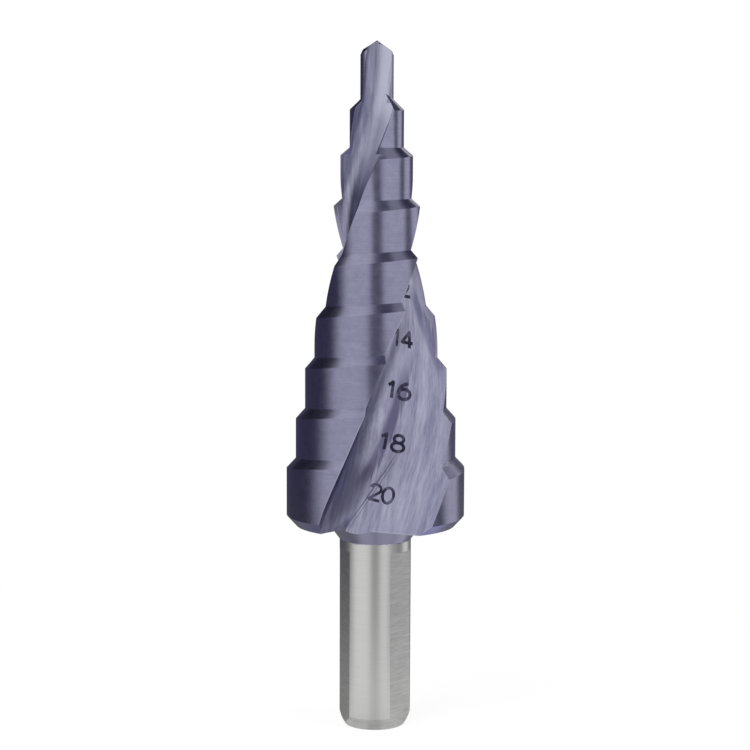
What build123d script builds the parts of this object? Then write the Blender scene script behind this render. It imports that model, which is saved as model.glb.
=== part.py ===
"""Step drill, 4 to 20 mm, turned and ground from one bar of high-speed steel.

Millimetres, +Z along the axis towards the point, origin at the middle of the shank's end face.
Angles are in degrees about +Z, from -Y (the front) towards +X, which is also the way it cuts.
"""
from build123d import *
import os
from math import acos, asin, cos, degrees, radians, sin, tan

# Shank, with three flats for the chuck jaws
shank_radius = 4.0
shank_end_bevel_width = 0.65
shank_end_bevel_height = 1.35
shank_end_bevel_crown = 0.03
flat_count = 3
flat_depth = 0.375
flat_length = 20.0
first_flat_angle = 50.0

# Cone from the shank up to the underside of the head
neck_bottom = 21.1
neck_top_radius = 5.2

# Underside of the head and its bevel
head_bottom = 22.75
head_bevel_width = 1.1
head_bevel_height = 1.2

# Steps, from the largest down to the pilot
largest_radius = 10.0
pilot_radius = 2.0
step_count = 9
first_shoulder = 30.25
step_pitch = 5.6
last_step_pitch = 5.1
shoulder_angle = 45.0
shoulder_relief = 6.3
land_backoff = 0.12
pilot_backoff = 0.6

# Point
overall_length = 76.3
point_angle = 118.0
point_relief = 11.0
point_corner_width = 0.3
point_corner_angle = 56.0

# Flutes. A flute's section is a flat floor, a hollow root and a face that ends at the cutting lip.
# Each row is a share of the flute's length, from the underside of the head to the point, and the
# value there: the twist in degrees over a whole flute length, the others in millimetres.
flute_count = 2
floor_angle_at_head = -24.6
twist_rates = ((0.0, 138), (0.3, 152), (0.45, 201), (0.62, 216), (0.8, 277), (1.0, 421))
floor_distances = ((0.0, 4.9), (0.7, 1.79), (0.88, 0.4), (1.0, 0.4))
face_offsets = ((0.0, 2.64), (0.045, 2.9), (0.3, 2.78), (0.55, 1.98), (0.76, 1.0), (0.88, 0.72), (1.0, 1.48))
root_widths = ((0.0, 1.25), (0.045, 2.8), (0.13, 4.5), (0.38, 4.6), (0.7, 2.8), (0.88, 1.6), (1.0, 1.4))
root_rises = ((0.0, 3.8), (1.0, 0.8))
flute_reaches = ((0.0, 13.0), (1.0, 4.5))
# Low down the face is nearly flat and meets the floor at a crease. Further up it is hollow, and
# runs smoothly into the floor. The handles are shares of the curve's width and height.
face_handles = ((0.0, 0.12), (0.13, 0.3), (0.25, 0.5523), (1.0, 0.5523))
crease_angles = ((0.0, 14.0), (0.25, 0.0), (1.0, 0.0))
flute_sections = 27
section_crowding = 1.4
flute_overrun = 0.6

step_drop = (largest_radius - pilot_radius) / (step_count - 1)
flute_length = overall_length - head_bottom
flute_spacing = 360 / flute_count


def outward(angle):
    """Unit vector that points away from the axis at this angle."""
    return Vector(sin(radians(angle)), -cos(radians(angle)), 0)


def share_of(height):
    """Share of the flute's length at this height."""
    return (height - head_bottom) / flute_length


def read_off(rows, height):
    """Value at this height, on straight lines from row to row."""
    share = min(max(share_of(height), rows[0][0]), rows[-1][0])
    for (start, first), (end, last) in zip(rows, rows[1:]):
        if share <= end:
            return first + (last - first) * (share - start) / (end - start)


def floor_angle(height):
    """Direction that the flute's floor faces at this height: the twist rates added up."""
    share = share_of(height)
    angle = floor_angle_at_head + min(share, 0) * twist_rates[0][1] + max(share - 1, 0) * twist_rates[-1][1]
    for (start, first), (end, last) in zip(twist_rates, twist_rates[1:]):
        covered = min(max(share - start, 0), end - start)
        reached = first + (last - first) * covered / (end - start)
        angle += covered * (first + reached) / 2
    return angle


def lip_angle(height, radius):
    """Where the flute's face meets a cylinder of this radius: the cutting lip."""
    return floor_angle(height) - degrees(asin(read_off(face_offsets, height) / radius))


def heel_angle(height, radius):
    """Where the other flute's floor meets the same cylinder: the land's trailing edge."""
    opening = degrees(acos(read_off(floor_distances, height) / radius))
    return floor_angle(height) + opening - flute_spacing


def flute_section(height):
    """Closed outline of the cut at one height, open to well outside the steps."""
    floor = read_off(floor_distances, height)
    face = -read_off(face_offsets, height)
    rise = read_off(root_rises, height)
    reach = read_off(flute_reaches, height)
    width = read_off(root_widths, height)
    handle = read_off(face_handles, height)
    lift = width * handle * tan(radians(read_off(crease_angles, height)))
    short = 1 - handle
    crease = (floor, face + width)
    foot = (floor + rise, face)
    outline = Line(crease, (floor, reach))
    outline += Line((floor, reach), (reach, reach))
    outline += Line((reach, reach), (reach, face))
    outline += Line((reach, face), foot)
    outline += Bezier(foot, (floor + rise * short, face), (floor + lift, face + width * short), crease)
    where = Plane((0, 0, height), x_dir=outward(floor_angle(height)), z_dir=(0, 0, 1))
    return where * make_face(outline)


def flute_cut():
    """One flute, lofted through turning sections that lie closest where it runs out."""
    start = head_bottom - flute_overrun
    length = flute_length + 2 * flute_overrun
    shares = [(number / (flute_sections - 1)) ** section_crowding for number in range(flute_sections)]
    return loft([flute_section(start + length * share) for share in shares])


def half_space(middle, size):
    """Block that fills the side of the axis that this angle points to."""
    side = Plane((0, 0, 0), x_dir=outward(middle), z_dir=(0, 0, 1))
    return side * Box(size, 2 * size, 2 * size, align=(Align.MIN, Align.CENTER, Align.CENTER))


def sloped_roof(radius, height, half_angle, pivot, middle, tilt, depth):
    """Cone through a circle, tilted up towards the lip and down towards the heel."""
    slope = tan(radians(half_angle))
    apex = height + radius / slope
    base = (apex - height + depth) * slope
    roof = Pos(0, 0, apex) * Cone(base, 0, base / slope, align=(Align.CENTER, Align.CENTER, Align.MAX))
    return roof.rotate(Axis((0, 0, pivot), outward(middle)), tilt)


def land(radius, bottom, roof, middle, lip, backoff):
    """Half of one step: a barrel set slightly off the axis, so that it clears behind its lip."""
    barrel = Cylinder(radius - backoff, overall_length - bottom,
                      align=(Align.CENTER, Align.CENTER, Align.MIN))
    barrel = Pos(0, 0, bottom) * Pos(outward(lip) * backoff) * barrel
    return barrel & roof & half_space(middle, 2 * overall_length)


def shoulder_height(number):
    """Height of this step's shoulder at the lip."""
    height = first_shoulder + number * step_pitch
    if number == step_count - 2:
        height -= step_pitch - last_step_pitch
    return height


def step_land(number):
    """One land of one step, under its 45 degree shoulder."""
    radius = largest_radius - number * step_drop
    shoulder = shoulder_height(number)
    lip = lip_angle(shoulder, radius)
    middle = (lip + heel_angle(shoulder, radius)) / 2
    rise = radius * tan(radians(shoulder_relief)) * sin(radians(lip - middle))
    pivot = shoulder - rise
    bottom = head_bottom if number == 0 else shoulder - step_pitch - 2 * rise
    roof = sloped_roof(radius, pivot, shoulder_angle, pivot, middle, shoulder_relief,
                       shoulder - bottom + largest_radius)
    lip_below = lip_angle(shoulder - step_pitch / 2, radius)
    return land(radius, bottom, roof, middle, lip_below, land_backoff)


def pilot_land():
    """One land of the pilot, under its half of the point."""
    last_shoulder = shoulder_height(step_count - 2)
    slope = tan(radians(point_angle / 2))
    corner = overall_length - pilot_radius / slope
    lip = lip_angle(corner, pilot_radius)
    middle = (lip + heel_angle(corner, pilot_radius)) / 2
    roof = sloped_roof(pilot_radius, corner, point_angle / 2, overall_length, middle,
                       point_relief, step_pitch * 2)
    roof &= sloped_roof(pilot_radius - point_corner_width, corner + point_corner_width / slope,
                        point_corner_angle / 2, overall_length, middle, point_relief, step_pitch * 2)
    lip_below = lip_angle((corner + last_shoulder) / 2, pilot_radius)
    return land(pilot_radius, last_shoulder - step_drop, roof, middle, lip_below, pilot_backoff)


def stepped_head():
    """All lands of all steps, with the bevel under the largest."""
    lands = [step_land(number) for number in range(step_count - 1)] + [pilot_land()]
    around = [Rot(0, 0, flute_spacing * turn) * piece for piece in lands for turn in range(flute_count)]
    head = around[0].fuse(*around[1:])
    slope = head_bevel_width / head_bevel_height
    tall = overall_length - head_bottom
    bevel = Cone(largest_radius - head_bevel_width, largest_radius - head_bevel_width + tall * slope,
                 tall, align=(Align.CENTER, Align.CENTER, Align.MIN))
    return head & (Pos(0, 0, head_bottom) * bevel)


def shank():
    """Round shank with its end bevel, the neck cone and the flats."""
    end = (shank_radius - shank_end_bevel_width, 0)
    bevel_top = (shank_radius, shank_end_bevel_height)
    halfway = (
        shank_radius - shank_end_bevel_width / 2 + shank_end_bevel_crown,
        shank_end_bevel_height / 2 - shank_end_bevel_crown,
    )
    outline = ThreePointArc(end, halfway, bevel_top)
    outline += Polyline(
        bevel_top,
        (shank_radius, neck_bottom),
        (neck_top_radius, head_bottom),
        (neck_top_radius, head_bottom + head_bevel_height),
        (0, head_bottom + head_bevel_height),
        (0, 0),
        end,
    )
    turned = revolve(Plane.XZ * make_face(outline), Axis.Z)
    for number in range(flat_count):
        angle = first_flat_angle + number * 360 / flat_count
        where = Plane((0, 0, 0), x_dir=outward(angle), z_dir=(0, 0, 1))
        block = Box(shank_radius, 2 * shank_radius, flat_length, align=(Align.MIN, Align.CENTER, Align.MIN))
        turned -= where * Pos(shank_radius - flat_depth, 0, 0) * block
    return turned


def step_drill():
    """The whole drill, one solid."""
    drill = stepped_head().fuse(shank())
    flute = flute_cut()
    for turn in range(flute_count):
        drill -= Rot(0, 0, flute_spacing * turn) * flute
    return drill.solids().sort_by(SortBy.VOLUME)[-1]


os.makedirs("parts", exist_ok=True)
export_step(step_drill(), "parts/step_drill.step")
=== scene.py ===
import bpy
from math import cos, radians, sin
from mathutils import Matrix, Vector
from mathutils.bvhtree import BVHTree


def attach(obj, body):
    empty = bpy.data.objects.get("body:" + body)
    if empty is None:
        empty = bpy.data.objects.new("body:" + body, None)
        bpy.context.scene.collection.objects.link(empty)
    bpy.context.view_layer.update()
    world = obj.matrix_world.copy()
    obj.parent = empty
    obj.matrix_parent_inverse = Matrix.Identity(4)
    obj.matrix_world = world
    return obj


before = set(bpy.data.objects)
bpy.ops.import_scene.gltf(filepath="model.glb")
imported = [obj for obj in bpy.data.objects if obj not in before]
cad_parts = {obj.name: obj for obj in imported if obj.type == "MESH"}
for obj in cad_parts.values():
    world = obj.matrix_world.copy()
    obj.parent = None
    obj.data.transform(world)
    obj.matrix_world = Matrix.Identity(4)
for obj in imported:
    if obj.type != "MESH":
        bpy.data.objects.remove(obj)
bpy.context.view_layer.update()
MM = 0.001
TO_MM = 1000

# The drill's own sizes in millimetres, as in the solid model
SHANK_RADIUS = 4.0
FLAT_TOP = 20.0
SHANK_TOP = 21.1
HEAD_BOTTOM = 22.75
FIRST_SHOULDER = 30.25
STEP_PITCH = 5.6
STEP_DROP = 1.0
STEPS_BELOW_PILOT = 8
LARGEST_RADIUS = 10.0
OVERALL_LENGTH = 76.3
FLUTE_LENGTH = OVERALL_LENGTH - HEAD_BOTTOM

# How the flute turns: its direction under the head in degrees, then rows of a share of its length
# and the twist there in degrees over a whole length
FLOOR_ANGLE_AT_HEAD = -24.6
TWIST_RATES = ((0.0, 138), (0.3, 152), (0.45, 201), (0.62, 216), (0.8, 277), (1.0, 421))

# The camera stands close in front, near the height of the upper steps, looking slightly down.
# Millimetres and degrees.
CAMERA_DISTANCE = 204.5
CAMERA_HEIGHT = 59.55
CAMERA_SIDE = -0.10
CAMERA_PITCH = 5.6
CAMERA_ROLL = 0.22
PHOTO_SIZE = 750
FOCAL_PIXELS = 1845.0
SENSOR = 36.0

# Dark gaps between the studio's white screens, which give the turned steel its bands. The upright
# ones: direction in degrees from the front towards the right, half width, soft edge, top, darkness,
# and the share of it that is left on the floor at the drill's foot
UPRIGHT_GAPS = (
    (-138, 58, 17, 9, 1.0, 0.70),
    (0, 12, 6, 9, 0.88, 0.30),
    (88, 9, 5, 9, 0.88, 0.30),
    (150, 20, 8, 19, 0.93, 0.75),
)
GAP_TOP_SOFT = 4
# The round ones overhead: direction, elevation, half width, darkness. Above 1 a gap is darker
# than the gap's colour.
ROUND_GAPS = (
    (118, 56, 36, 0.52),
    (-148, 20, 36, 1.0),
    (-144, 31, 21, 1.7),
    (90, 88, 11, 1.1),
    (144, 47, 16, 1.35),
)
ROUND_GAP_SOFT_OUTSIDE = 4
ROUND_GAP_SOFT_INSIDE = 3
# Strength of the white world as light on dull surfaces
DIFFUSE_STRENGTH = 0.6

# Soft lamps: place and size in metres, power in watts. Both aim at the top of the largest step.
LAMPS = {
    "lamp_left": ((-0.45, -0.45, 0.65), 0.6, 7),
    "lamp_right": ((0.5, -0.2, 0.5), 0.5, 3),
}
LAMP_AIM = (0, 0, 0.03)

# The floor, in metres from the drill's axis. Distances in pairs are where a change starts and ends.
FLOOR_HALF_SIZE = 3.0
FLOOR_SHADOW = (0.01, 0.09)
FLOOR_SHADOW_DEPTH = 0.1
# What reflections find there, painted on the floor. The upright gaps grow from their share at the foot to
# full, and turn from a plain dark grey to the gaps' colour. The glow between them is weaker right at the
# foot: painted shade round the drill's foot.
GAP_GROWTH = (0.015, 0.085)
GREY_TO_GAP_COLOUR = (0.10, 0.19)
GLOW_IN_FOOT_SHADE = 0.74
GLOW_GAIN = 0.16
GLOW_GROWTH = (0.006, 0.016)
# One more dark gap painted on the floor alone, seen only in reflections, on the right: direction, half
# width and soft edge in degrees
FLOOR_GAP = (67, 22, 8)
FLOOR_GAP_START = (0.014, 0.036)
FLOOR_GAP_END = (0.10, 0.24)
FLOOR_GAP_DARKNESS = 0.87

# Colours
WHITE = (1, 1, 1, 1)
BLACK = (0, 0, 0, 1)
FLOOR_COLOUR = (0.85, 0.85, 0.85, 1)
FOOT_SHADE_GREY = (0.11, 0.11, 0.11, 1)
GAP_COLOUR = (0.075, 0.073, 0.125, 1)
COATING_LIGHT = (0.42, 0.42, 0.555, 1)
COATING_DEEP = (0.19, 0.185, 0.295, 1)
COATING_HIGHLIGHT = (0.46, 0.46, 0.57, 1)
COATING_PALE = (0.56, 0.56, 0.70, 1)
COATING_UNDER_SHADE = (0.10, 0.09, 0.42, 1)
PAINTED_SHADE_DARK = (0.05, 0.045, 0.10, 1)
STEEL_LIGHT = (0.70, 0.70, 0.69, 1)
STEEL_DEEP = (0.48, 0.48, 0.47, 1)
MARK_DARK = (0.012, 0.011, 0.034, 1)
MARK_FADED = (0.105, 0.100, 0.165, 1)

# How the surfaces of the drill are told apart, in pairs from not yet to fully: the upward part of
# the direction that they face, and distances and heights in millimetres
SHOULDER_FACING = (0.60, 0.66)
UNDERSIDE_FACING = (-0.5, -0.35)
UNDERSIDE_RADIUS = (5.4, 7.0)
NEAR_STEP_RADIUS = (-0.42, -0.34)
FLAT_INSIDE_SHANK = (0.004, 0.02)
FLAT_END = (FLAT_TOP - 0.1, FLAT_TOP)
COATING_EDGE = (SHANK_TOP - 0.10, SHANK_TOP + 0.02)
COATING_RAGGEDNESS = 0.35
COATING_SHIFT = 0.17
NARROW_FLUTE = (58.5, 63)

# Noises for the grain: how many cells to a millimetre in each of three directions, the detail and
# the roughness. The streaks are read across the flute, up the drill and out from the axis, the
# others along X, Y and Z.
BROAD_STREAKS = ((0.75, 0.045, 0.75), 2.0, 0.55)
MIDDLE_STREAKS = ((2.6, 0.10, 2.6), 4.0, 0.6)
FINE_STREAKS = ((9.0, 0.26, 9.0), 3.0, 0.7)
STREAK_SWAY = ((0.12, 0.12, 0.12), 1.0, 0.55)
SWAY_WIDTH = 1.6
RAGGED_EDGE = ((1.3, 1.3, 2.0), 3.0, 0.55)
MOTTLING = ((1.1, 1.1, 1.1), 5.0, 0.6)
SPECKLE = ((14.0, 14.0, 14.0), 2.0, 0.55)
TURNED_RINGS = ((0.25, 0.25, 9.0), 3.0, 0.55)
CROSS_LINES = ((0.5, 0.5, 4.5), 6.0, 0.72)

# Two broad darker bands in the flute, the first painted shade along the crease, in millimetres: where
# the middle lies across at one height, how far it moves across for each millimetre of height, where
# the band starts and ends, and its half width squared, from full to gone. The first one bends below its
# height.
FIRST_BAND_ACROSS = 0.45
FIRST_BAND_HEIGHT = 31
FIRST_BAND_SLOPE = 0.2
FIRST_BAND_KINK = 0.14
FIRST_BAND_START = (26.5, 30)
FIRST_BAND_END = (37, 43)
FIRST_BAND_WIDTH = (0.06, 0.75)
FIRST_BAND_UNEVEN = 0.8
SECOND_BAND_ACROSS = 5.36
SECOND_BAND_HEIGHT = 42.9
SECOND_BAND_SLOPE = 0.4
SECOND_BAND_START = (38.5, 42)
SECOND_BAND_END = (47.5, 50)
SECOND_BAND_WIDTH = (0.05, 0.8)

# The darker strip of painted shade on the flute's face beside the cutting lip
FACE_ACROSS = -2.85
LIP_STRIP_WIDTH = (0.4, 1.3)
LIP_STRIP_OUT = (5.0, 6.5)
LIP_STRIP_END = (36, 42)

# Two thin dark lines of painted shade beside the crease between the flute's face and floor. The widths
# are squared.
CREASE_SLOPE = 0.45
LINE_ACROSS = -1.39
LINE_GAP = 0.36
LINE_WOBBLE = 0.08
FIRST_LINE_WIDTH = (0.0006, 0.006)
SECOND_LINE_WIDTH = (0.0002, 0.004)
SECOND_LINE_DEPTH = 0.8
LINES_END = (29.5, 32.5)

# Painted highlights along the corners: how far the shader looks around inside the solid, in millimetres,
# and the share of that view that its walls close off, from no corner to a full one
CORNER_REACH = 0.18
CORNER_SAMPLES = 12
CORNER_CLOSED = (0.12, 0.5)

# The coating's tone, where 0 is deep and 1 is light, and what each surface adds or takes off
COATING_TONE = 0.38
SHOULDER_TONE = 0.08
FLUTE_TONE = 0.2
LIP_STRIP_SHADE_TONE = -0.35
FIRST_BAND_SHADE_TONE = -0.4
SECOND_BAND_TONE = -0.55
# The same for the bare steel
STEEL_TONE = 0.68
FLAT_TONE = -0.3
CROSS_LINES_TONE = 2.2

# How far each colour over the coating covers it
CORNER_HIGHLIGHT_SHARE = 0.42
UNDERSIDE_SHADE_SHARE = 0.44
CREASE_LINES_SHADE = 0.75
FIRST_BAND_SHADE_SHARE = 0.45
PALE_NARROW_ACROSS = (-0.2, 0.8)

# Roughness, and what each surface or noise adds to it
COATING_ROUGH = 0.235
FLUTE_ROUGH = 0.075
NARROW_FLUTE_ROUGH = 0.18
MOTTLING_ROUGH = 0.08
STREAKS_ROUGH = -0.16
STEEL_ROUGH = 0.33
FLAT_ROUGH = 0.10
RINGS_ROUGH = -0.06
MARK_ROUGH = 0.5
MARK_CLOUDS_ROUGH = 0.25

# The bump's height in metres, and the share of it that each noise raises
BUMP_STRENGTH = 0.5
BUMP_DISTANCE = 0.00002
FINE_RELIEF = 0.6
MIDDLE_RELIEF = 0.8
CROSS_LINES_RELIEF = 0.7
SPECKLE_RELIEF = 0.12

# The laser mark: cells to a metre in its noise, the heights in millimetres where it is burnt paler,
# what that adds to the noise, and the noise from dark to faded
MARK_CLOUDS = 800.0
MARK_PALE_BELOW = (28, 31)
MARK_PALER_BELOW = 0.10
MARK_PALE_ABOVE = (39, 42)
MARK_PALER_ABOVE = 0.03
MARK_DARK_TO_FADED = (0.46, 0.72)

# The printed diameters, in millimetres, from the largest step up
LARGEST_NUMBER = 20
NUMBER_BELOW_SHOULDER = 3.35
NUMBER_ACROSS = 1.82
NUMBER_ACROSS_PER_STEP = 0.205
FIGURE_HEIGHTS = (1.7, 1.8, 1.8, 1.8, 1.8, 1.8, 1.5, 1.5)
STROKE_HALF_WIDTHS = (0.16, 0.175, 0.19, 0.19, 0.19, 0.19, 0.19, 0.19)
MARK_LIFT = 0.008
MARK_EDGE_LIFT = 0.3
# Shares of a figure's height
FIGURE_SPACING = 0.86
POINT_GAP = 0.05
# How much wider a figure is than its strokes are written below
FIGURE_WIDENING = 1.25
# How far off the rays start that find the surface under a number and under its strokes
NUMBER_PROBE = 12
STROKE_PROBE = 2


class Socket:
    """A shader value that adds its own Math nodes when it is used in an expression."""

    def __init__(self, tree, link):
        self.tree = tree
        self.link = link

    def _maths(self, operation, *values):
        node = self.tree.nodes.new("ShaderNodeMath")
        node.operation = operation
        for place, value in enumerate(values):
            if isinstance(value, Socket):
                self.tree.links.new(value.link, node.inputs[place])
            else:
                node.inputs[place].default_value = value
        return Socket(self.tree, node.outputs[0])

    def __add__(self, other):
        return self._maths("ADD", self, other)

    def __radd__(self, other):
        return self._maths("ADD", other, self)

    def __sub__(self, other):
        return self._maths("SUBTRACT", self, other)

    def __rsub__(self, other):
        return self._maths("SUBTRACT", other, self)

    def __mul__(self, other):
        return self._maths("MULTIPLY", self, other)

    def __rmul__(self, other):
        return self._maths("MULTIPLY", other, self)

    def __truediv__(self, other):
        return self._maths("DIVIDE", self, other)

    def __pow__(self, other):
        return self._maths("POWER", self, other)

    def least(self, other):
        return self._maths("MINIMUM", self, other)

    def most(self, other):
        return self._maths("MAXIMUM", self, other)

    def sine(self):
        return self._maths("SINE", self)

    def cosine(self):
        return self._maths("COSINE", self)

    def whole_above(self):
        return self._maths("CEIL", self)

    def as_share(self):
        """Kept between 0 and 1."""
        return self.most(0.0).least(1.0)

    def above(self, low, high):
        """0 below low, 1 above high, smooth between."""
        node = self.tree.nodes.new("ShaderNodeMapRange")
        node.interpolation_type = "SMOOTHSTEP"
        self.tree.links.new(self.link, node.inputs["Value"])
        node.inputs["From Min"].default_value = low
        node.inputs["From Max"].default_value = high
        return Socket(self.tree, node.outputs[0])

    def below(self, low, high):
        """1 below low, 0 above high, smooth between."""
        return 1 - self.above(low, high)

    def close_to_zero(self, full, gone):
        """1 around zero, fading out while the value's square goes from full to gone."""
        return (self * self).below(full, gone)


class Shader:
    """The node tree of a material or the world, with one method for any node."""

    def __init__(self, owner):
        owner.use_nodes = True
        self.tree = owner.node_tree
        self.tree.nodes.clear()

    def node(self, kind, settings=None, output=0, **values):
        """Add a node and return one output, by name or number. An input is named, or inN by number."""
        node = self.tree.nodes.new("ShaderNode" + kind)
        for name, value in (settings or {}).items():
            setattr(node, name, value)
        for name, value in values.items():
            numbered = name.startswith("in") and name[2:].isdigit()
            place = int(name[2:]) if numbered else name.replace("_", " ")
            if isinstance(value, Socket):
                self.tree.links.new(value.link, node.inputs[place])
            else:
                node.inputs[place].default_value = value
        return Socket(self.tree, node.outputs[output])

    def parts(self, vector):
        """X, Y and Z of a vector."""
        node = self.tree.nodes.new("ShaderNodeSeparateXYZ")
        self.tree.links.new(vector.link, node.inputs[0])
        return [Socket(self.tree, output) for output in node.outputs]

    def ray_kinds(self):
        """Whether a ray comes from the camera, from a glossy surface, or through a clear one."""
        node = self.tree.nodes.new("ShaderNodeLightPath")
        names = ("Is Camera Ray", "Is Glossy Ray", "Is Transmission Ray")
        return [Socket(self.tree, node.outputs[name]) for name in names]

    def mix(self, share, first, second):
        """Colour between two colours."""
        return self.node("Mix", {"data_type": "RGBA"}, output=2, in0=share, in6=first, in7=second)

    def blend(self, share, first, second):
        """Surface between two surfaces."""
        return self.node("MixShader", in0=share, in1=first, in2=second)

    def noise(self, place, cells, detail, roughness):
        """Noise around one half, at a place of three values, with this many cells to each unit."""
        x, y, z = (value * scale for value, scale in zip(place, cells))
        spot = self.node("CombineXYZ", X=x, Y=y, Z=z)
        return self.node("TexNoise", Vector=spot, Scale=1.0, Detail=detail, Roughness=roughness)

    def finish(self, kind, surface):
        output = self.tree.nodes.new("ShaderNodeOutput" + kind)
        self.tree.links.new(surface.link, output.inputs["Surface"])


def weighed(*noises):
    """Noises added up by their weights, around zero."""
    return sum((noise - 0.5) * weight for noise, weight in noises)


def floor_angle(height):
    """Direction that the flute's floor faces at this height, in degrees from the front."""
    share = (height - HEAD_BOTTOM) / FLUTE_LENGTH
    angle = FLOOR_ANGLE_AT_HEAD
    for (start, first), (end, last) in zip(TWIST_RATES, TWIST_RATES[1:]):
        covered = min(max(share - start, 0), end - start)
        angle += covered * (first + (last - first) / (end - start) * covered / 2)
    return angle


def shaded_floor_angle(height):
    """The same direction as a shader value, in radians."""
    share = (height - HEAD_BOTTOM) / FLUTE_LENGTH
    angle = radians(FLOOR_ANGLE_AT_HEAD)
    for (start, first), (end, last) in zip(TWIST_RATES, TWIST_RATES[1:]):
        covered = (share - start).most(0.0).least(end - start)
        angle = angle + covered * (radians(first) + covered * (radians(last - first) / (end - start) / 2))
    return angle


def add_camera():
    """Camera at the photograph's angle, distance and lens."""
    data = bpy.data.cameras.new("camera")
    data.sensor_width = SENSOR
    data.lens = FOCAL_PIXELS / PHOTO_SIZE * SENSOR
    data.clip_start = 0.01
    data.clip_end = 20
    camera = bpy.data.objects.new("camera", data)
    bpy.context.scene.collection.objects.link(camera)
    tilt = Matrix.Rotation(radians(90 - CAMERA_PITCH), 4, "X")
    roll = Matrix.Rotation(radians(CAMERA_ROLL), 4, "Z")
    place = Matrix.Translation(Vector((CAMERA_SIDE, -CAMERA_DISTANCE, CAMERA_HEIGHT)) * MM)
    camera.matrix_world = place @ tilt @ roll
    bpy.context.scene.camera = camera


def sector(x, y, middle, half, soft):
    """1 where a level direction lies within half an angle of the middle one, in degrees."""
    ahead = x * sin(radians(middle)) - y * cos(radians(middle))
    return ahead.above(cos(radians(half + soft)), cos(radians(half - soft)))


def studio_shade(x, y, rise=None, away=None):
    """How dark the studio looks in a level direction, up to 1.

    For the world, rise is the sine of the elevation. For the floor, away is the distance from the
    drill's axis in metres.
    """
    shade = 0.0
    for middle, half, soft, top, darkness, at_foot in UPRIGHT_GAPS:
        gap = sector(x, y, middle, half, soft) * darkness
        if rise is not None:
            gap = gap * rise.below(sin(radians(top - GAP_TOP_SOFT)), sin(radians(top + GAP_TOP_SOFT)))
        if away is not None:
            gap = gap * (at_foot + (1 - at_foot) * away.above(*GAP_GROWTH))
        shade = gap.most(shade)
    return shade


def add_world():
    """White to the camera; reflections find dark gaps, the diffuse light is softer."""
    world = bpy.data.worlds.new("studio")
    bpy.context.scene.world = world
    shader = Shader(world)
    x, y, z = shader.parts(shader.node("TexCoord", output="Generated"))
    # Divided by below, so never zero
    level = (x * x + y * y).most(0.0001) ** 0.5
    shade = studio_shade(x / level, y / level, rise=z)
    for middle, rise, half, darkness in ROUND_GAPS:
        turn, lift = radians(middle), radians(rise)
        ahead = x * (cos(lift) * sin(turn)) - y * (cos(lift) * cos(turn)) + z * sin(lift)
        outside = cos(radians(half + ROUND_GAP_SOFT_OUTSIDE))
        inside = cos(radians(half - ROUND_GAP_SOFT_INSIDE))
        shade = shade.most(ahead.above(outside, inside) * darkness)
    dim = shader.node("Background", Color=WHITE, Strength=DIFFUSE_STRENGTH)
    white = shader.node("Background", Color=WHITE, Strength=1.0)
    gap = shader.node("Background", Color=GAP_COLOUR, Strength=1.0)
    black = shader.node("Background", Color=BLACK, Strength=1.0)
    mirrored = shader.blend(shade.least(1.0), white, gap)
    mirrored = shader.blend((shade - 1).most(0.0), mirrored, black)
    seen, glossy, through = shader.ray_kinds()
    surface = shader.blend((seen + through).least(1.0), dim, white)
    surface = shader.blend(glossy, surface, mirrored)
    shader.finish("World", surface)


def add_lamp(name, place, size, power):
    """Soft square lamp that lights without a hard reflection of its own."""
    data = bpy.data.lights.new(name, "AREA")
    data.size = size
    data.energy = power
    lamp = bpy.data.objects.new(name, data)
    lamp.location = place
    lamp.rotation_euler = (Vector(LAMP_AIM) - Vector(place)).to_track_quat("-Z", "Y").to_euler()
    lamp.visible_glossy = False
    bpy.context.scene.collection.objects.link(lamp)


def floor_surface():
    """White to the camera but for a faint shadow; reflections find the studio's gaps painted on it, and
    painted shade round the drill's foot.
    """
    material = bpy.data.materials.new("floor")
    shader = Shader(material)
    x, y, _ = shader.parts(shader.node("TexCoord", output="Object"))
    # Divided by below, so never zero
    away = (x * x + y * y).most(0.0000001) ** 0.5
    shade = studio_shade(x / away, y / away, away=away)
    # A dark patch painted on the floor, seen only in reflections
    own_gap = sector(x / away, y / away, *FLOOR_GAP) * away.above(*FLOOR_GAP_START)
    own_gap = own_gap * away.below(*FLOOR_GAP_END)
    shade = shade.most(own_gap * FLOOR_GAP_DARKNESS)
    # To reflections the floor glows, with painted shade round the drill's foot
    glow = shader.node("Emission", Color=WHITE, Strength=1.0)
    near = shader.node("Emission", Color=FOOT_SHADE_GREY, Strength=1.0)
    far = shader.node("Emission", Color=GAP_COLOUR, Strength=1.0)
    gap = shader.blend(away.above(*GREY_TO_GAP_COLOUR).most(own_gap), near, far)
    bright = (1 - shade) * (GLOW_IN_FOOT_SHADE + GLOW_GAIN * away.above(*GLOW_GROWTH))
    mirrored = shader.blend(bright, gap, glow)
    seen, glossy, through = shader.ray_kinds()
    lit = shader.node("BsdfDiffuse", Color=FLOOR_COLOUR)
    unshadowed = 1 - FLOOR_SHADOW_DEPTH + FLOOR_SHADOW_DEPTH * away.above(*FLOOR_SHADOW)
    surface = shader.blend((seen + through).least(1.0) * unshadowed, lit, glow)
    surface = shader.blend(glossy, surface, mirrored)
    shader.finish("Material", surface)
    return material


def add_floor():
    """Pale level floor that the drill stands on."""
    half = FLOOR_HALF_SIZE
    mesh = bpy.data.meshes.new("floor")
    corners = [(-half, -half, 0), (half, -half, 0), (half, half, 0), (-half, half, 0)]
    mesh.from_pydata(corners, [], [(0, 1, 2, 3)])
    mesh.materials.append(floor_surface())
    floor = bpy.data.objects.new("floor", mesh)
    bpy.context.scene.collection.objects.link(floor)


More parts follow.
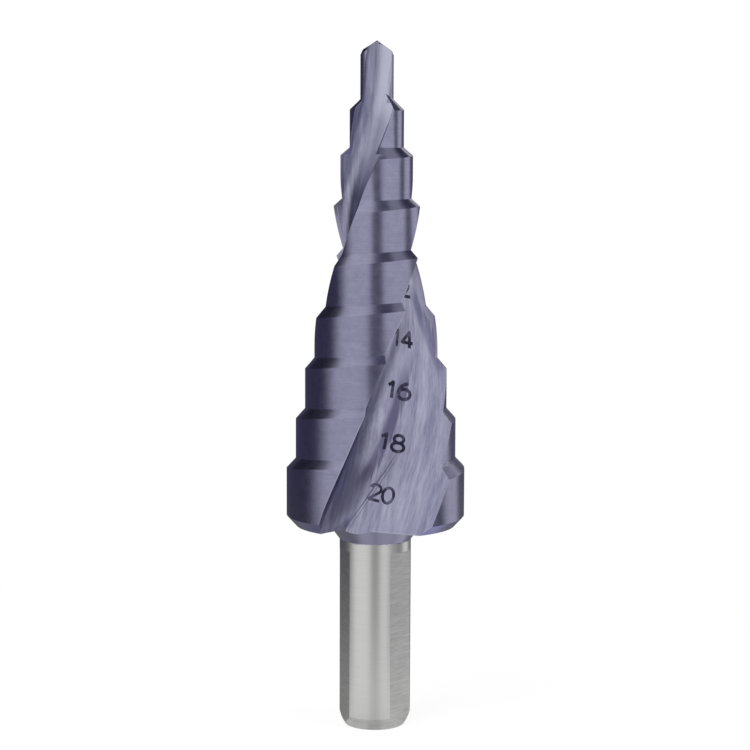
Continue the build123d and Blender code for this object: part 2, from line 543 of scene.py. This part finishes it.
class Spot:
    """A point of the drill's surface as shader values, in millimetres."""

    def __init__(self, shader):
        place = shader.parts(shader.node("TexCoord", output="Object"))
        x, y, z = [value * TO_MM for value in place]
        self.place = (x, y, z)
        self.z = z
        self.radius = (x * x + y * y) ** 0.5
        self.upward = shader.parts(shader.node("TexCoord", output="Normal"))[2]

        # Out from the axis and across the flute, in axes that turn with it. They are the same for
        # both flutes, which lie on opposite sides.
        turn = shaded_floor_angle(z)
        out = x * turn.sine() - y * turn.cosine()
        side = out.above(-0.001, 0.001) * 2 - 1
        self.out = out * side
        self.across = (x * turn.cosine() + y * turn.sine()) * side


class Surfaces:
    """Which surfaces of the drill a point is on, each as a share from 0 to 1."""

    def __init__(self, shader, spot):
        steps_above = ((spot.z - FIRST_SHOULDER) / STEP_PITCH).whole_above()
        steps_above = steps_above.most(0.0).least(STEPS_BELOW_PILOT)
        step_radius = LARGEST_RADIUS - steps_above * STEP_DROP
        not_below = spot.upward.above(*UNDERSIDE_FACING)
        ragged = shader.noise(spot.place, *RAGGED_EDGE)
        self.shoulder = spot.upward.above(*SHOULDER_FACING)
        self.turned = (spot.radius - step_radius).above(*NEAR_STEP_RADIUS).most(self.shoulder)
        self.fluted = (1 - self.turned) * not_below
        self.narrow = self.fluted * spot.z.above(*NARROW_FLUTE)
        self.underside = (1 - not_below) * spot.radius.above(*UNDERSIDE_RADIUS)
        self.coated = (spot.z + ragged * COATING_RAGGEDNESS - COATING_SHIFT).above(*COATING_EDGE)
        self.flatted = (SHANK_RADIUS - spot.radius).above(*FLAT_INSIDE_SHANK) * spot.z.below(*FLAT_END)


def flute_streaks(shader, spot):
    """Grinding marks that run up the flute: broad ones, middle ones and fine ones."""
    sway = (shader.noise(spot.place, *STREAK_SWAY) - 0.5) * SWAY_WIDTH
    broad = shader.noise((spot.across, spot.z, spot.out), *BROAD_STREAKS)
    middle = shader.noise((spot.across + sway, spot.z, spot.out), *MIDDLE_STREAKS)
    fine = shader.noise((spot.across - sway, spot.z, spot.out), *FINE_STREAKS)
    return broad, middle, fine


def dark_bands(spot, uneven):
    """Two broad darker bands: painted shade from the crease up the middle of the floor, and a darker band
    at its right edge.
    """
    raised = spot.z - FIRST_BAND_HEIGHT
    lowered = (FIRST_BAND_HEIGHT - spot.z).most(0.0)
    first = spot.across - FIRST_BAND_ACROSS - raised * FIRST_BAND_SLOPE + lowered * FIRST_BAND_KINK
    first = (first + uneven * FIRST_BAND_UNEVEN).close_to_zero(*FIRST_BAND_WIDTH)
    first = first * spot.z.above(*FIRST_BAND_START) * spot.z.below(*FIRST_BAND_END)
    lowered = SECOND_BAND_HEIGHT - spot.z
    second = spot.across - SECOND_BAND_ACROSS - lowered * SECOND_BAND_SLOPE
    second = (second + uneven).close_to_zero(*SECOND_BAND_WIDTH)
    second = second * spot.z.above(*SECOND_BAND_START) * spot.z.below(*SECOND_BAND_END)
    return first, second


def scored_lines(spot, fine):
    """Two fine lines of painted shade that run up beside the crease."""
    crease = (spot.z - HEAD_BOTTOM).most(0.0) * CREASE_SLOPE + LINE_ACROSS
    beside = spot.across - crease + (fine - 0.5) * LINE_WOBBLE
    first = beside.close_to_zero(*FIRST_LINE_WIDTH)
    second = (beside - LINE_GAP).close_to_zero(*SECOND_LINE_WIDTH)
    return first.most(second * SECOND_LINE_DEPTH) * spot.z.below(*LINES_END)


def corner_lines(shader):
    """1 along the solid's outward corners, where a pale highlight is painted."""
    settings = {"inside": True, "only_local": True, "samples": CORNER_SAMPLES}
    open_side = shader.node("AmbientOcclusion", settings, output="AO", Distance=CORNER_REACH * MM)
    return (1 - open_side).above(*CORNER_CLOSED)


def ground_steel():
    """Violet-grey coating on the head, bare ground steel on the shank."""
    material = bpy.data.materials.new("coated_ground_steel")
    shader = Shader(material)
    spot = Spot(shader)
    on = Surfaces(shader, spot)

    # The flute: grinding streaks, darker bands, the first of them painted shade, painted shade in lines
    # beside the crease and in a strip beside the lip
    broad, middle, fine = flute_streaks(shader, spot)
    first_band_shade, second_band = dark_bands(spot, weighed((middle, 1.6), (fine, 0.8)))
    first_band_shade = first_band_shade * on.fluted
    streaks_and_band_shade = weighed((broad, 1.3), (middle, 1.3), (fine, 1.1))
    streaks_and_band_shade = streaks_and_band_shade + (first_band_shade * FIRST_BAND_SHADE_TONE).least(second_band * SECOND_BAND_TONE)
    crease_line_shade = scored_lines(spot, fine) * on.fluted
    # Painted shade: a darker strip of the flute's face beside the lip
    lip_strip_shade = (spot.across - FACE_ACROSS).below(*LIP_STRIP_WIDTH) * spot.out.above(*LIP_STRIP_OUT)
    lip_strip_shade = lip_strip_shade * spot.z.below(*LIP_STRIP_END)

    # The steps: mottling, speckle and faint rings. The shank: rings, and lines across its flats.
    mottle = shader.noise(spot.place, *MOTTLING)
    speckle = shader.noise(spot.place, *SPECKLE)
    rings = shader.noise(spot.place, *TURNED_RINGS)
    lines = shader.noise(spot.place, *CROSS_LINES)
    turning = weighed((mottle, 0.5), (speckle, 0.45), (rings, 0.3))
    shank_marks = weighed((rings, 0.5), (speckle, 0.1)) + on.flatted * (lines - 0.5) * CROSS_LINES_TONE

    # The coating's colour, from deep to light, then what lies over it
    tone = COATING_TONE + on.shoulder * SHOULDER_TONE + on.turned * turning
    tone = tone + on.fluted * (streaks_and_band_shade + FLUTE_TONE + lip_strip_shade * LIP_STRIP_SHADE_TONE)
    coating = shader.mix(tone.as_share(), COATING_DEEP, COATING_LIGHT)
    # Painted highlights along the outward corners
    coating = shader.mix(corner_lines(shader) * CORNER_HIGHLIGHT_SHARE, coating, COATING_HIGHLIGHT)
    pale = on.narrow * spot.across.above(*PALE_NARROW_ACROSS)
    coating = shader.mix(pale, coating, COATING_PALE)
    # Painted shade on the head's downward-facing underside
    coating = shader.mix(on.underside * UNDERSIDE_SHADE_SHARE, coating, COATING_UNDER_SHADE)
    # Painted shade: dark lines beside the crease and the first band along it
    dark = (crease_line_shade * CREASE_LINES_SHADE).most(first_band_shade * FIRST_BAND_SHADE_SHARE)
    coating = shader.mix(dark, coating, PAINTED_SHADE_DARK)

    # The steel's colour, and the coating over it down to its ragged edge
    tone = STEEL_TONE + on.flatted * FLAT_TONE + shank_marks
    steel = shader.mix(tone.as_share(), STEEL_DEEP, STEEL_LIGHT)
    colour = shader.mix(on.coated, steel, coating)

    # Roughness: the narrow upper part of the flute is duller than the rest
    coat_rough = COATING_ROUGH + on.turned * (mottle - 0.5) * MOTTLING_ROUGH
    coat_rough = coat_rough + on.fluted * (FLUTE_ROUGH + (middle - 0.5) * STREAKS_ROUGH)
    coat_rough = coat_rough + on.narrow * NARROW_FLUTE_ROUGH
    bare_rough = STEEL_ROUGH + on.flatted * FLAT_ROUGH + (rings - 0.5) * RINGS_ROUGH
    rough = on.coated * coat_rough + (1 - on.coated) * bare_rough

    # Relief too fine to model
    relief = on.fluted * on.coated * (fine * FINE_RELIEF + middle * MIDDLE_RELIEF)
    relief = relief + (1 - on.coated) * on.flatted * lines * CROSS_LINES_RELIEF
    relief = relief + on.turned * on.coated * speckle * SPECKLE_RELIEF
    normal = shader.node("Bump", Strength=BUMP_STRENGTH, Distance=BUMP_DISTANCE, Height=relief)
    surface = shader.node(
        "BsdfPrincipled", Base_Color=colour, Metallic=1.0, Roughness=rough, Normal=normal
    )
    shader.finish("Material", surface)
    return material


def marking():
    """Dark laser mark, burnt unevenly, with its palest figures lowest and high up."""
    material = bpy.data.materials.new("laser_mark")
    shader = Shader(material)
    spot = shader.node("TexCoord", output="Object")
    height = shader.parts(spot)[2] * TO_MM
    cloud = shader.node("TexNoise", Vector=spot, Scale=MARK_CLOUDS, Detail=3.0, Roughness=0.6)
    paler = cloud + height.below(*MARK_PALE_BELOW) * MARK_PALER_BELOW
    paler = paler + height.above(*MARK_PALE_ABOVE) * MARK_PALER_ABOVE
    colour = shader.mix(paler.above(*MARK_DARK_TO_FADED), MARK_DARK, MARK_FADED)
    rough = MARK_ROUGH + cloud * MARK_CLOUDS_ROUGH
    surface = shader.node("BsdfPrincipled", Base_Color=colour, Metallic=0.5, Roughness=rough)
    shader.finish("Material", surface)
    return material


def arc(middle, width, height, start, end, parts=14):
    """Points on an oval, between two angles in degrees from the right."""
    turns = [radians(start + (end - start) * number / parts) for number in range(parts + 1)]
    return [(middle[0] + width * cos(turn), middle[1] + height * sin(turn)) for turn in turns]


# Strokes of each figure, one unit high
FIGURES = {
    "0": [arc((0.0, 0.0), 0.29, 0.5, 90, 450, 28)],
    "1": [[(-0.19, 0.26), (-0.07, 0.34), (0.06, 0.5), (0.06, -0.5)]],
    "2": [arc((0.0, 0.22), 0.27, 0.28, 170, -38) + [(-0.28, -0.5), (0.31, -0.5)]],
    "4": [[(0.14, -0.5), (0.14, 0.5), (-0.31, -0.18), (0.33, -0.18)]],
    "6": [arc((0.0, -0.18), 0.30, 0.32, 90, 450, 28), arc((0.23, -0.14), 0.53, 0.64, 184, 96, 12)],
    "8": [arc((0.0, 0.26), 0.235, 0.24, 90, 450, 24), arc((0.0, -0.23), 0.30, 0.27, 90, 450, 28)],
}


def even_points(stroke, gap):
    """The stroke's points again, at even small steps."""
    points = [Vector(stroke[0])]
    for first, last in zip(stroke, stroke[1:]):
        first, last = Vector(first), Vector(last)
        parts = max(1, round((last - first).length / gap))
        points += [first.lerp(last, number / parts) for number in range(1, parts + 1)]
    return points


def figure_strokes(number):
    """Strokes of a whole number around its own middle, each figure in an equal cell."""
    text = str(number)
    strokes = []
    for place, figure in enumerate(text):
        shift = (place - (len(text) - 1) / 2) * FIGURE_SPACING
        for stroke in FIGURES[figure]:
            strokes.append([(shift + across * FIGURE_WIDENING, up) for across, up in stroke])
    return strokes


def add_number(number, height, across, size, half_width, solid, material):
    """Mark a diameter on the flute's floor, in strokes that follow the ground surface."""
    angle = radians(floor_angle(height))
    outward = Vector((sin(angle), -cos(angle), 0))
    sideways = Vector((cos(angle), sin(angle), 0))
    above = (outward * NUMBER_PROBE + sideways * across + Vector((0, 0, height))) * MM
    middle, facing, _, _ = solid.ray_cast(above, -outward)

    # Upright runs along the flute, square to the surface
    turn = radians(floor_angle(height + 0.5) - floor_angle(height - 0.5))
    up = Vector((0, 0, 1)) + Vector((-middle.y, middle.x, 0)) / MM * turn
    up = (up - facing * up.dot(facing)).normalized()
    right = up.cross(facing)

    # Each stroke is a strip with a middle line, a little prouder there than at its sides
    points = []
    faces = []
    for stroke in figure_strokes(number):
        line = even_points(stroke, POINT_GAP)
        closed = (line[0] - line[-1]).length < 1e-6
        start = len(points)
        for place, spot in enumerate(line):
            before = line[place - 1] if place else line[-2 if closed else 0]
            after = line[place + 1] if place + 1 < len(line) else line[1 if closed else -1]
            along = (after - before).normalized()
            for side in (-1, 0, 1):
                flat = spot * size + Vector((-along.y, along.x)) * (half_width * side)
                probe = middle + (right * flat.x + up * flat.y + facing * STROKE_PROBE) * MM
                found, normal, _, _ = solid.ray_cast(probe, -facing)
                lift = MARK_LIFT * (MARK_EDGE_LIFT if side else 1)
                points.append(found + normal * lift * MM)
        for base in range(start, len(points) - 3, 3):
            faces.append((base, base + 1, base + 4, base + 3))
            faces.append((base + 1, base + 2, base + 5, base + 4))
    mesh = bpy.data.meshes.new("mark_" + str(number))
    mesh.from_pydata(points, [], faces)
    mesh.materials.append(material)
    mark = bpy.data.objects.new("mark_" + str(number), mesh)
    bpy.context.scene.collection.objects.link(mark)
    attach(mark, "root")


def add_numbers(solid):
    """One number beside each step below the pilot: its diameter."""
    material = marking()
    for step, (size, half_width) in enumerate(zip(FIGURE_HEIGHTS, STROKE_HALF_WIDTHS)):
        number = LARGEST_NUMBER - round(2 * STEP_DROP * step)
        height = FIRST_SHOULDER - NUMBER_BELOW_SHOULDER + STEP_PITCH * step
        across = NUMBER_ACROSS - NUMBER_ACROSS_PER_STEP * step
        add_number(number, height, across, size, half_width, solid, material)


add_camera()
add_world()
for name, (place, size, power) in LAMPS.items():
    add_lamp(name, place, size, power)
add_floor()

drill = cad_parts["step_drill"]
drill.data.materials[0] = ground_steel()
add_numbers(BVHTree.FromObject(drill, bpy.context.evaluated_depsgraph_get()))

bpy.context.scene.view_settings.view_transform = "Standard"
